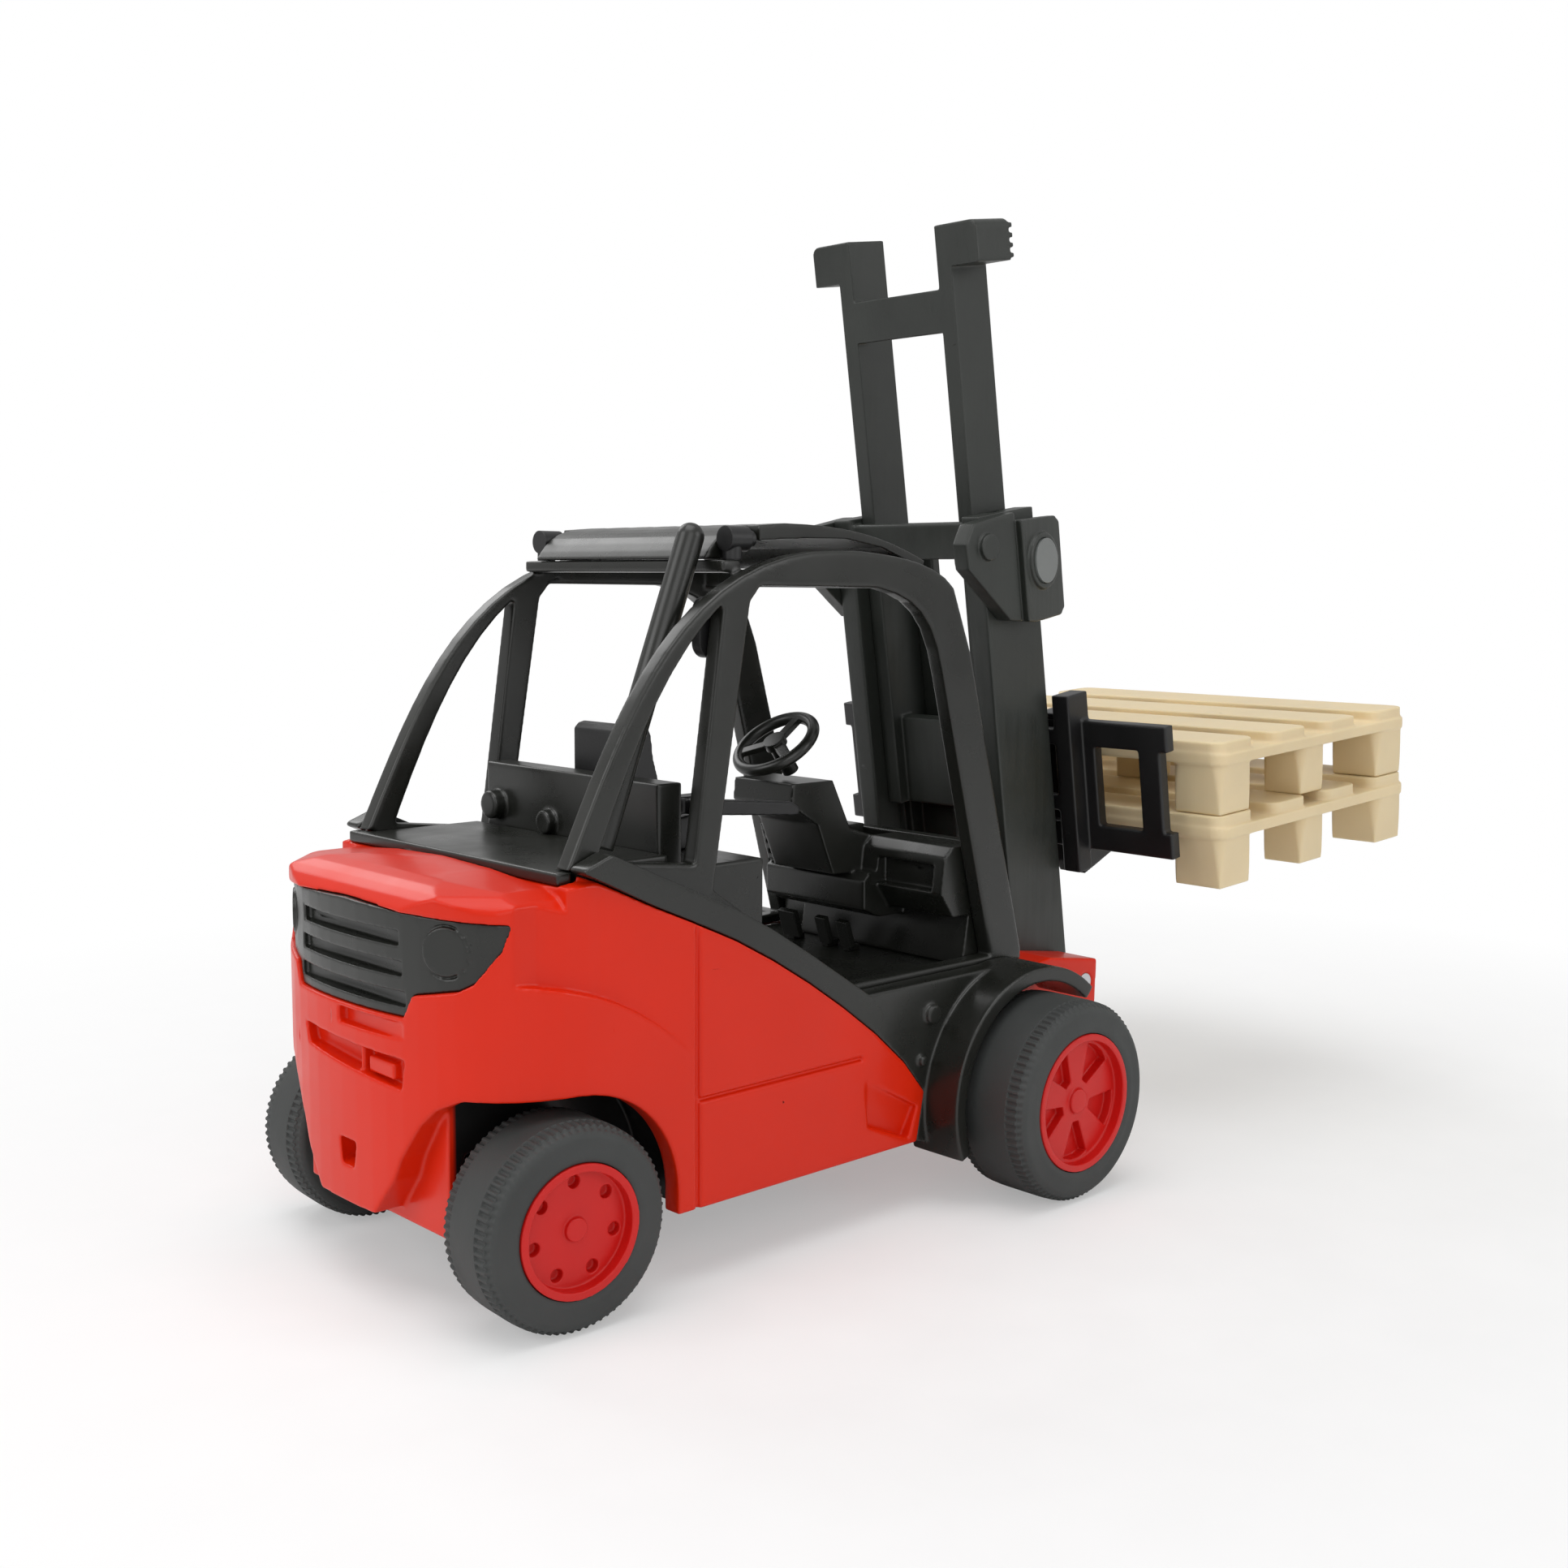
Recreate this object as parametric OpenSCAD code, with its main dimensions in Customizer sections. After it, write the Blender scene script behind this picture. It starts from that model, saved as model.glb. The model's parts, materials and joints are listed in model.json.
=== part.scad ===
// Toy counterbalance forklift with raised mast, tilted back, carrying two stacked pallets.
// Millimetres, +X towards the forks, +Y left, +Z up, ground at z = 0.
// Working coordinates have x = 0 on the front axle; place() centres the whole toy.

/* [Wheels] */
// Radius of the front tyres
front_tyre_r = 8; // [7:0.1:9]
// Radius of the rear tyres
rear_tyre_r = 7; // [6:0.1:8]
// Width of the front tyres
front_tyre_w = 7.2; // [5:0.1:10]
// Width of the rear tyres
rear_tyre_w = 6.4; // [4:0.1:8]
// Radius of the front hubs
front_hub_r = 5.5; // [4:0.1:6.5]
// Radius of the rear hubs
rear_hub_r = 4.5; // [3.5:0.1:5.5]
// Distance from the middle to the outer face of a front wheel
front_half_track = 23.2; // [20:0.1:26]
// Distance from the middle to the outer face of a rear wheel
rear_half_track = 17.1; // [15:0.1:19]
// Distance between the two axles
wheelbase = 43.5; // [38:0.5:50]
// Radius of the axle rods
axle_r = 0.8; // [0.5:0.05:1.2]
// Steering angle the rear axle rests at
steer_rest = -3.6; // [-8:0.1:8]

/* [Body] */
// Half the width of the red body
body_half_w = 15.5; // [14.6:0.1:17]
// Underside height of the red body
body_z = 5.4; // [4.5:0.1:7]
// Overhang of the counterweight behind the rear axle
tail_len = 8.5; // [6:0.1:11]
// Half the width of the opening inside the body for the cab
tub_half_w = 13.45; // [12:0.05:15]
// Height of the cab floor top
floor_z = 17.4; // [16:0.1:20]

/* [Overhead guard] */
// Height of the top of the guard arches
guard_top = 51; // [46:0.5:56]
// Outer half width over the guard arches
guard_half_w = 13.4; // [12:0.05:15]
// Thickness of one arch
arch_t = 1.5; // [1:0.1:2.5]

/* [Mast] */
// Backward lean of the mast at rest
mast_lean = 8.8; // [0:0.1:12]
// Forward position of the mast pivot
pivot_x = 13; // [11:0.1:15]
// Height of the mast pivot
pivot_z = 14; // [12:0.1:16]
// Outer half width over the outer mast rails
mast_half_w = 8.6; // [8:0.1:10]
// Length of the outer mast above the pivot
mast_top = 41.2; // [35:0.1:48]
// Height of the raised inner mast above the pivot
lift_top = 64.9; // [50:0.1:70]
// Half the width of the fork carriage
carriage_half_w = 19.2; // [15:0.1:22]
// Length of the fork blades
fork_len = 30; // [20:0.5:36]

/* [Pallets] */
// Pallet size along the forks
pallet_l = 32; // [24:0.5:40]
// Pallet size across the forks
pallet_w = 39; // [30:0.5:48]
// Pallet height
pallet_h = 6.4; // [5:0.1:9]
// Sideways offset of both pallets on the forks
pallet_y = -2.5; // [-4:0.1:4]

/* [Hidden] */
$fn = 48;
rear_x = -wheelbase;
tail_x = rear_x - tail_len;
fork_droop = 5.5;
// Load frame origin in mast coordinates: rear lower corner of the pallet stack.
load_u = 8.2;
load_w = 7.25;
pitch = mast_lean - fork_droop;
load_x = pivot_x + load_u * cos(mast_lean) - load_w * sin(mast_lean);
nose_x = load_x + pallet_l * cos(pitch);
shift_x = -(nose_x + tail_x) / 2;
gap = 0.05;
rail_back = -2.34;
mast_back = -3.85;
rail_front = 3.16;
lift_foot = lift_top - 50;
// Upper edge of the red flank, from the rear top down to the front foot.
flank = [[-42.6, 29.75], [-41.2, 29.1], [-37.1, 27.1], [-33.5, 25.5], [-29.8, 23.8], [-26.3, 21.9],
         [-22.7, 19.7], [-19.3, 17.4], [-15.8, 14.8], [-12.6, 12], [-10.3, 9.3]];

// ---------- helpers ----------

function bez(a, b, c, d, t) =
  pow(1 - t, 3) * a + 3 * pow(1 - t, 2) * t * b + 3 * (1 - t) * t * t * c + pow(t, 3) * d;
function curve(a, b, c, d, n = 12) = [for (i = [0 : n]) bez(a, b, c, d, i / n)];
function reversed(p) = [for (i = [len(p) - 1 : -1 : 0]) p[i]];
function raised(p, dz) = [for (q = p) [q[0], q[1] + dz]];

module place() {
  translate([shift_x, 0, 0]) children();
}

// Side view (x, z) outline extruded across the toy from y0 to y1.
module side_slab(y0, y1) {
  translate([0, y1, 0]) rotate([90, 0, 0]) linear_extrude(height = y1 - y0) children();
}

// Rear view (y, z) outline extruded forward from x0 to x1.
module rear_slab(x0, x1) {
  translate([x0, 0, 0]) rotate([90, 0, 90]) linear_extrude(height = x1 - x0) children();
}

module box(x0, x1, y0, y1, z0, z1) {
  translate([x0, y0, z0]) cube([x1 - x0, y1 - y0, z1 - z0]);
}

module both_sides() {
  children();
  mirror([0, 1, 0]) children();
}

// Cylinder along Y, centred on y = 0 unless y0 and y1 are given.
module rod_y(r, y0, y1) {
  translate([0, y0, 0]) rotate([-90, 0, 0]) cylinder(r = r, h = y1 - y0);
}

module rod_x(r, x0, x1) {
  translate([x0, 0, 0]) rotate([0, 90, 0]) cylinder(r = r, h = x1 - x0);
}

module mast_frame() {
  place() translate([pivot_x, 0, pivot_z]) rotate([0, -mast_lean, 0]) children();
}

module load_frame() {
  mast_frame() translate([load_u, 0, load_w]) rotate([0, fork_droop, 0]) children();
}

module rear_axle_frame() {
  place() translate([rear_x, 0, rear_tyre_r]) rotate([0, 0, steer_rest]) children();
}

module front_axle_frame() {
  place() translate([0, 0, front_tyre_r]) children();
}

// ---------- red body ----------

module body_side_outline() {
  polygon(concat(
    [[-11.1, body_z], [tail_x, body_z]],
    curve([tail_x, 24], [tail_x + 0.1, 27], [tail_x + 0.5, 28.8], [tail_x + 3.6, 29.2], 8),
    [[tail_x + 8.3, 29.6]],
    flank));
}

// Plan view: bowed tail running into straight sides.
module body_plan_outline(inset = 0) {
  w = body_half_w - inset;
  x = tail_x + inset;
  side = curve([x, 0], [x, w - 7], [x + 2, w], [x + 11, w], 14);
  polygon(concat(side, [[5, w], [5, -w]], [for (q = reversed(side)) [q[0], -q[1]]]));
}

// Rear view: upright sides that lean inwards at the shoulder.
module body_rear_outline() {
  w = body_half_w;
  right = curve([w, 22], [w, 26], [w - 0.2, 28.6], [w - 1.6, 30.4], 8);
  left = [for (q = reversed(right)) [-q[0], q[1]]];
  polygon(concat([[w, 0]], right, left, [[-w, 0]]));
}

// Stern between the rear wheels: a tongue tapering downwards and the block in front of it.
module tail_keel() {
  half = [[3.6, 6.4], [4.5, 7.6], [5.7, 9.1], [6.5, 10.8], [8.2, 13.3], [9.4, 14.5], [11.3, 15.4],
          [15, 16], [20, 16.2], [20, 18]];
  rear_slab(tail_x - 1, rear_x - 5.9) polygon(concat(half, [for (q = reversed(half)) [-q[0], q[1]]]));
  box(rear_x - 6, rear_x + 12, -9.2, 9.2, 0, 18);
}

// Space for one rear wheel: snug arch in the outer skin, wider pocket behind it.
module rear_wheel_bay() {
  difference() {
    union() {
      side_slab(0, 30) {
        translate([rear_x, rear_tyre_r]) circle(r = 8.3, $fn = 96);
        translate([rear_x - 20, -10]) square([20, rear_tyre_r + 18.3]);
        translate([rear_x, -10]) square([8.3, 10 + rear_tyre_r]);
      }
      side_slab(0, 13.9) {
        translate([rear_x, rear_tyre_r]) difference() {
          circle(r = 9.6, $fn = 96);
          translate([-10, 8.2]) square([10, 2]);
        }
        translate([rear_x, -10]) square([9.6, 10 + rear_tyre_r]);
      }
    }
    tail_keel();
  }
}

// Rounded-off rear corners and crown of the counterweight behind the engine cover.
module tail_crown() {
  crown = [[6, 29.3], [12, 28.75], [13.5, 28.2], [14.6, 27.2], [15.3, 25.6], [20, 25]];
  rear_slab(tail_x - 3, rear_x - 0.15)
    polygon(concat([for (q = reversed(crown)) [-q[0], q[1]]], [[0, 29.5]], crown, [[20, 40], [-20, 40]]));
  both_sides() rotate([0, 0, 135]) side_slab(-30, 30)
    polygon([[43.6, 27.3], [43.0, 28.1], [42.2, 28.6], [41, 28.9], [39.5, 29.2], [39.5, 40], [50, 40],
             [50, 27.3]]);
}

// Outline of the grille insert seen from behind.
module grille_outline(grow) {
  half = [[13.6, 26.9], [13.2, 25.2], [11.9, 23.1], [10.9, 22.5], [7.6, 21.9], [6.8, 20.3]];
  offset_half = [for (q = half) [q[0] + grow, q[1] + (q[1] > 26 ? grow : -grow)]];
  polygon(concat([[0, 27.5 + grow], [8.5 + grow, 27.2 + grow]], offset_half,
    [for (q = reversed(offset_half)) [-q[0], q[1]]], [[-8.5 - grow, 27.2 + grow]]));
}

module grille_pocket(grow, depth) {
  intersection() {
    rear_slab(tail_x - 3, rear_x) grille_outline(grow);
    translate([0, 0, 15]) linear_extrude(height = 15) difference() {
      body_plan_outline(-2);
      body_plan_outline(depth);
    }
  }
}

// Front chassis between the front wheels with the two ears that carry the mast.
module chassis_block() {
  difference() {
    union() {
      box(-11.5, 4.6, -12.6, 12.6, body_z, 16.2);
      both_sides() side_slab(8.7, 13.1)
        polygon([[-9, 8], [8, 8.4], [14.4, 10.8], [14.6, 15.9], [8, 16.9], [1.6, 16.2], [-9, 16.2]]);
    }
    translate([0, 0, front_tyre_r]) rod_y(axle_r + gap, -16, 16);
    translate([pivot_x, 0, pivot_z]) rod_y(axle_r, -16, 16);
  }
}

// Panel joints pressed into the flanks.
module flank_grooves() {
  both_sides() {
    box(-33.55, -33.25, body_half_w - 0.35, 20, body_z - 1, 25.4);
    box(-33.5, -17.2, body_half_w - 0.35, 20, 13.0, 13.3);
  }
}

// Step panel near the front foot of the flank: it leans in towards its lower edge.
module flank_facet() {
  w = body_half_w;
  both_sides() intersection() {
    side_slab(w - 2, 20) polygon([[-17, 11.4], [-11.2, 8.3], [-12.1, 5.9], [-16.5, 7.7]]);
    rear_slab(-20, 0) polygon([[w, 11.5], [20, 11.5], [20, 5], [w - 1.1, 5]]);
  }
}

// Hip line: the flank steps in above the rear wheel arch and runs out flush towards the front.
module hip_recess() {
  w = body_half_w;
  both_sides() intersection() {
    side_slab(13.7, 20) polygon(concat([[-60, 40], [-60, 23]],
      curve([-48, 23], [-42.5, 22.6], [-38, 20.6], [-33.6, 16.2], 8), [[-33.4, 40]]));
    linear_extrude(height = 40) difference() {
      polygon([[-60, 5], [-60, 20], [-33.4, 20], [-33.4, w], [-41, w - 0.7], [-41, 5]]);
      body_plan_outline(0.7);
    }
  }
}

// Latch recess, bumper recess with the coupling block in it, and the tow notch.
module rear_recesses() {
  box(tail_x - 2, tail_x + 0.7, -6.9, 0.4, 18.9, 20);
  difference() {
    rear_slab(tail_x - 2, tail_x + 1.2) polygon([[5.6, 17.9], [5.1, 16.5], [-6.6, 15.5], [-6.9, 17.5]]);
    box(tail_x + 0.5, tail_x + 2, -5.9, -2.7, 16, 17.1);
    box(tail_x + 0.4, tail_x + 2, -2.2, -1.8, 15, 18);
  }
  translate([tail_x + 0.9, -0.5, 9.2]) rotate([0, -14, 0]) cylinder(r = 1.1, h = 1.8);
}

module body_shell() {
  place() color("red") {
    difference() {
      intersection() {
        side_slab(-30, 30) body_side_outline();
        linear_extrude(height = 40) body_plan_outline();
        rear_slab(-80, 20) body_rear_outline();
      }
      both_sides() rear_wheel_bay();
      box(-42.6, 10, -tub_half_w, tub_half_w, 16.2, 40);
      box(rear_x - 0.15, -42.5, -13.42, 13.42, 28.9, 40);
      tail_crown();
      grille_pocket(0, 1.75);
      rear_recesses();
      flank_grooves();
      flank_facet();
      hip_recess();
      // Underside hollow, steering pivot bore and clearance for the swivel beam.
      box(-32, -13, -13.6, 13.6, 0, 7.4);
      translate([rear_x, 0, 0]) cylinder(r = 1.05, h = 16.2);
      box(rear_x - 4.7, rear_x + 4.7, -9.5, 9.5, 0, 11);
    }
    chassis_block();
  }
}

module base_plate() {
  place() color("dimgray") difference() {
    union() {
      box(-31.95, -13.05, -13.55, 13.55, 6.0, 7.35);
      for (y = [-9, 0, 9]) box(-30, -15, y - 0.5, y + 0.5, 5.6, 6.0);
    }
    for (x = [-29, -16]) translate([x, 4.5, 5]) cylinder(r = 0.9, h = 4);
  }
}

module base_screws() {
  place() color("silver") for (x = [-29, -16]) translate([x, 4.5, 5.7]) difference() {
    cylinder(r = 0.9, h = 1.65);
    box(-1, 1, -0.12, 0.12, -0.1, 0.4);
    box(-0.12, 0.12, -1, 1, -0.1, 0.4);
  }
}

// Black insert of the counterweight: louvred middle and a round lamp boss on each side.
module grille() {
  place() color("dimgray") {
    difference() {
      intersection() {
        grille_pocket(-0.03, 1.7);
        translate([0, 0, 15]) linear_extrude(height = 15) body_plan_outline(0.25);
      }
      for (i = [0 : 2])
        box(tail_x - 2, tail_x + 1.3, 0.3 * i - 6.8, 6.8 - 0.3 * i, 21 + 2 * i, 22 + 2 * i);
      both_sides() lamp_boss_frame() rod_x(1.8, -2, 0.3);
    }
    both_sides() lamp_boss_frame() rod_x(1.62, 0.02, 0.4);
  }
}

// Middle of one rear lamp boss, with X pointing into the body.
module lamp_boss_frame() {
  translate([-50.1, -10, 25]) rotate([0, 0, 30]) children();
}

// ---------- cab ----------

module hood_cover() {
  place() color("dimgray") {
    box(rear_x - 0.1, -42.4, -13.35, 13.35, 28.95, 29.8);
    box(-42.5, -33.05, -11.8, 11.8, 28.7, 29.8);
  }
}

module cab_tub() {
  place() color("dimgray") {
    box(-42.5, 1.5, -11.85, 11.85, 16.25, floor_z);
    box(0.2, 1.5, -11.85, 11.85, floor_z, 27.4);
    box(-42.5, -41.2, -11.85, 11.85, floor_z, 28.65);
  }
}

module wheel_opening(r) {
  translate([0, front_tyre_r]) circle(r = r, $fn = 96);
}

// Right-hand trim band along the flank, skirt behind the front wheel and wheel arch lip.
module fender() {
  crest = concat(reversed(raised([for (i = [2 : 6]) flank[i]], 2.3)), [[-40.6, 31.0], [-42.7, 30.2]]);
  side_slab(tub_half_w + 0.02, 15.3) difference() {
    polygon(concat([[-42.75, 29.84]], raised(flank, 0.07),
      [[-11, body_z + 0.03], [-8.9, 4.8], [-5, 3.6], [2.2, 8], [2.2, 17.9], [-16.4, 17.9]],
      crest));
    wheel_opening(8.9);
  }
  side_slab(15.2, 15.75) {
    translate([-9.5, 15.3]) circle(r = 0.75);
    translate([-10.6, 11.8]) circle(r = 0.4);
  }
  side_slab(tub_half_w + 0.02, 18.6) difference() {
    wheel_opening(10.1);
    wheel_opening(8.9);
    polygon([[0, 8], [10.8, 20], [20, 20], [20, -20], [-20, -20], [-20, -0.4]]);
  }
}

module fender_left() {
  place() color("dimgray") fender();
}

module fender_right() {
  place() color("dimgray") mirror([0, 1, 0]) fender();
}

// Closed side view of one arch before its window and door are cut.
module arch_outline() {
  polygon(concat(
    [[-42.9, 29.87]],
    curve([-42.7, 30], [-38, 39.6], [-33.2, guard_top], [-18, guard_top], 16),
    curve([-16, guard_top], [-11, guard_top - 0.3], [-7.2, guard_top - 0.9], [-5.4, guard_top - 2.7], 6),
    [[-3.3, 43.2], [3.7, 18.3], [3.7, 17.45], [-20, 17.45], [-41.1, 28], [-42.35, 29.87]]));
}

module arch_window() {
  polygon(concat(
    [[-31.9, 29.2], [-40.4, 30.2]],
    curve([-39.9, 31.4], [-36.8, 38.4], [-34, 43.6], [-29.3, 47.2], 8)));
}

module arch_door() {
  polygon(concat(
    [[-30.2, 27.2], [-26.8, 47.3], [-25.8, 48.4]],
    curve([-14, 48.3], [-9.6, 47.6], [-7.6, 46], [-6.5, 41.6], 6),
    [[-0.2, 18.3], [-16, 18.3], [-25, 23.6]]));
}

module guard_arches() {
  place() color("dimgray") {
    both_sides() side_slab(guard_half_w - arch_t, guard_half_w) difference() {
      arch_outline();
      arch_window();
      arch_door();
    }
    // Cross bars joining the two arches at the rear and at the front of the roof.
    box(-28.2, -26.6, -12, 12, 49.3, 50.2);
    box(-9.4, -7.4, -12, 12, 48.2, 49.6);
  }
}

module roof_panel() {
  place() color("dimgray") difference() {
    side_slab(-11.8, 11.8)
      polygon(concat(
        curve([-28.4, 50.3], [-27.6, 51.6], [-26.6, 52.5], [-24.6, 52.7], 6),
        curve([-22, 52.9], [-16, 52.9], [-12, 52.3], [-7.2, 50.4], 8),
        [[-7.4, 49.7], [-12, 51.3]],
        curve([-16, 51.9], [-18, 51.9], [-22, 51.8], [-24.4, 51.6], 4),
        [[-26.5, 50.25]]));
    for (i = [-3 : 3]) box(-22.5, -12.5, 3 * i - 0.5, 3 * i + 0.5, 52.4, 54);
    both_sides() box(-29, -24.6, 10.25, 12, 50, 54);
  }
}

module roof_lamp() {
  translate([-26.2, 11.2, 50.4]) {
    translate([-0.5, 0, -0.18]) cylinder(r = 0.7, h = 1.2);
    translate([0, 0, 1.3]) rod_x(0.9, -1.2, 0.7);
    translate([0, 0, 1.3]) rod_x(0.6, 0.7, 1.3);
  }
}

module roof_lamp_left() {
  place() color("black") roof_lamp();
}

module roof_lamp_right() {
  place() color("black") mirror([0, 1, 0]) roof_lamp();
}

// Mirror hanging on the inner face of the right-hand middle post.
module cab_mirror() {
  place() color("black") side_slab(-11.88, -11) {
    for (z = [44.4, 46.6]) translate([-29.2, z]) circle(r = 1.05);
    translate([-30.25, 44.4]) square([2.1, 2.2]);
  }
}

module exhaust_stack() {
  place() color("dimgray") translate([-37.6, -9.6, 29.95]) rotate([0, 21, 0]) {
    translate([0, 0, 0.6]) cylinder(r = 1.0, h = 22.8);
    translate([0, 0, 23.4]) sphere(r = 1.0);
  }
}

// Engine cover the seat stands on, with the raised cross box behind the seat.
module seat_console() {
  place() color("dimgray") {
    box(-33.0, -22.8, -10.4, 10.4, floor_z + 0.02, 28.4);
    box(-33.0, -30.8, -10.6, 10.6, 28.3, 34.6);
    translate([-33, 8.9, 31.4]) rod_x(1.1, -1.1, 0);
    translate([-33, 2.2, 30.7]) rod_x(0.9, -0.8, 0);
  }
}

module seat() {
  place() color("black") {
    side_slab(-3.7, 3.7) polygon(concat(
      [[-29.7, 28.42], [-22.7, 28.42], [-22.0, 29.8]],
      curve([-22.0, 30.4], [-22.3, 31.2], [-23.4, 31.3], [-26.4, 30.7], 4),
      [[-27.8, 35.6]],
      curve([-28.0, 37.3], [-28.1, 38.2], [-29.2, 38.3], [-29.7, 37.5], 4)));
    both_sides() {
      box(-27.9, -23.6, 3.6, 5.2, 31.4, 32.7);
      box(-27.9, -26.4, 3.6, 5.2, 28.42, 31.5);
    }
    side_slab(-6.4, -5.0)
      polygon([[-26, 31.4], [-15.4, 30.5], [-15.2, 31.1], [-16, 31.6], [-26, 32.6]]);
  }
}

// Dash across the cab: shelf with a tray, knee panel, vent block and steering column housing.
module dash_console() {
  place() color("dimgray") difference() {
    union() {
      side_slab(-11.8, -2.5)
        polygon([[0.15, 21.6], [-3.2, 21.6], [-4.6, 23.6], [-4.2, 26.6], [-3.2, 27.4], [0.15, 27.4]]);
      side_slab(-4.6, 7.4)
        polygon([[0.15, 20.8], [-4.4, 20.8], [-6.2, 21.6], [-6.2, 24], [-5.4, 24.6], [0.15, 24.6]]);
      side_slab(1.6, 7.4) polygon([[0.15, 24.5], [-6.0, 24.5], [-7, 27.7], [0.15, 27.7]]);
      side_slab(-2.6, 4.6)
        polygon([[-2.2, 24.5], [-2.4, 27.2], [-5.8, 28.2], [-7.9, 32.4], [-12.4, 32.4], [-12.6, 30.6],
                 [-9.6, 28.8], [-7.8, 24.5]]);
      side_slab(-11.8, 7.4) polygon([[0.15, 22], [-1.2, 22], [-2, floor_z + 0.02], [0.15, floor_z + 0.02]]);
    }
    box(-5.5, -3.4, -10.6, -4.4, 23.7, 25.9);
    for (i = [0 : 2]) box(-7.5, -5.6, 5.2, 7, 25 + 0.9 * i, 25.4 + 0.9 * i);
  }
}

module steering_column() {
  place() color("dimgray") translate([-9.3, 0.6, 32.5]) rotate([0, -36, 0])
    translate([0, 0, 0.7]) cylinder(r = 0.7, h = 2.7);
}

module steering_wheel() {
  place() color("dimgray") translate([-9.3, 0.6, 32.5]) rotate([0, -36, 0]) translate([0, 0, 3.6]) {
    rotate_extrude($fn = 64) translate([3.4, 0]) circle(r = 0.5, $fn = 24);
    translate([0, 0, -0.2]) cylinder(r = 0.95, h = 0.7);
    for (a = [0, 120, 240]) rotate([0, 0, a]) box(0.6, 3.2, -0.38, 0.38, -0.15, 0.3);
  }
}

module pedal(w) {
  box(-0.4, 0.9, -0.35, 0.35, 0, 0.5);
  translate([-0.3, 0, 0.3]) rotate([0, -18, 0]) box(-0.1, 0.45, -w / 2, w / 2, 0, 2.4);
}

module pedals() {
  place() color("dimgray") {
    translate([-4.4, 5.6, floor_z + 0.02]) pedal(2);
    translate([-4.4, 1.4, floor_z + 0.02]) pedal(1.2);
    translate([-4.4, -1.2, floor_z + 0.02]) pedal(1.2);
  }
}

// ---------- wheels ----------

module tyre(r, w, hub_r) {
  rotate([-90, 0, 0]) rotate_extrude($fn = 96)
    polygon([[hub_r, 0], [r - 1.1, 0], [r - 0.3, 0.35], [r, 1.1], [r, w - 1.1], [r - 0.3, w - 0.35],
             [r - 1.1, w], [hub_r, w]]);
}

// Hub with rim ring on its outer face (y = 0 is the inner face, y = w the outer face).
module hub_body(hub_r, w) {
  rotate([-90, 0, 0]) difference() {
    cylinder(r = hub_r, h = w, $fn = 96);
    translate([0, 0, w - 0.9]) cylinder(r = hub_r - 0.55, h = 2, $fn = 96);
    translate([0, 0, -1]) cylinder(r = hub_r - 0.9, h = w * 0.45, $fn = 96);
  }
}

module front_hub() {
  w = front_tyre_w;
  difference() {
    union() {
      hub_body(front_hub_r, w);
      rod_y(1.0, w - 0.95, w - 0.6);
      rod_y(2.0, 0.4, w - 1);
    }
    rod_y(axle_r, -1, w - 1.6);
    for (i = [0 : 4]) rotate([0, 72 * i + 18, 0]) side_slab(w - 1.7, w + 1)
      polygon([[1.7, -0.35], [1.7, 0.35], [4.4, 1.45], [4.7, 0.5], [4.7, -0.5], [4.4, -1.45]]);
  }
}

module rear_hub() {
  w = rear_tyre_w;
  difference() {
    union() {
      hub_body(rear_hub_r, w);
      rod_y(0.8, w - 0.95, w - 0.55);
      rod_y(1.8, 0.4, w - 1);
    }
    rod_y(axle_r, -1, w - 1.6);
    for (i = [0 : 6]) rotate([0, 360 / 7 * i - 90, 0]) translate([3.15, 0, 0]) rod_y(0.45, w - 1.5, w + 1);
  }
}

module front_axle() {
  front_axle_frame() color("silver") rod_y(axle_r, 1.6 - front_half_track, front_half_track - 1.6);
}

module front_hub_left() {
  front_axle_frame() color("red") translate([0, front_half_track - front_tyre_w, 0]) front_hub();
}

module front_hub_right() {
  front_axle_frame() color("red") mirror([0, 1, 0])
    translate([0, front_half_track - front_tyre_w, 0]) front_hub();
}

module front_tyre_left() {
  front_axle_frame() color("dimgray") translate([0, front_half_track - front_tyre_w, 0])
    tyre(front_tyre_r, front_tyre_w, front_hub_r);
}

module front_tyre_right() {
  front_axle_frame() color("dimgray") mirror([0, 1, 0])
    translate([0, front_half_track - front_tyre_w, 0]) tyre(front_tyre_r, front_tyre_w, front_hub_r);
}

// Rear swivel beam: axle tube with a turret that turns on the kingpin.
module steer_beam() {
  rear_axle_frame() color("black") difference() {
    union() {
      box(-2.2, 2.2, -7.2, 7.2, -2, 2);
      rod_y(2.0, -9.2, 9.2);
      translate([0, 0, 1.9]) cylinder(r = 3, h = 2.05);
    }
    rod_y(axle_r + gap, -12, 12);
    translate([0, 0, 1.2]) cylinder(r = 1.05 + gap, h = 5);
  }
}

module kingpin() {
  place() color("silver") translate([rear_x, 0, 8.4]) cylinder(r = 1.05, h = 7.75);
}

module rear_axle() {
  rear_axle_frame() color("silver") rod_y(axle_r, 1.6 - rear_half_track, rear_half_track - 1.6);
}

module rear_hub_left() {
  rear_axle_frame() color("red") translate([0, rear_half_track - rear_tyre_w, 0]) rear_hub();
}

module rear_hub_right() {
  rear_axle_frame() color("red") mirror([0, 1, 0])
    translate([0, rear_half_track - rear_tyre_w, 0]) rear_hub();
}

module rear_tyre_left() {
  rear_axle_frame() color("dimgray") translate([0, rear_half_track - rear_tyre_w, 0])
    tyre(rear_tyre_r, rear_tyre_w, rear_hub_r);
}

module rear_tyre_right() {
  rear_axle_frame() color("dimgray") mirror([0, 1, 0])
    translate([0, rear_half_track - rear_tyre_w, 0]) tyre(rear_tyre_r, rear_tyre_w, rear_hub_r);
}

// ---------- mast ----------

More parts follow.
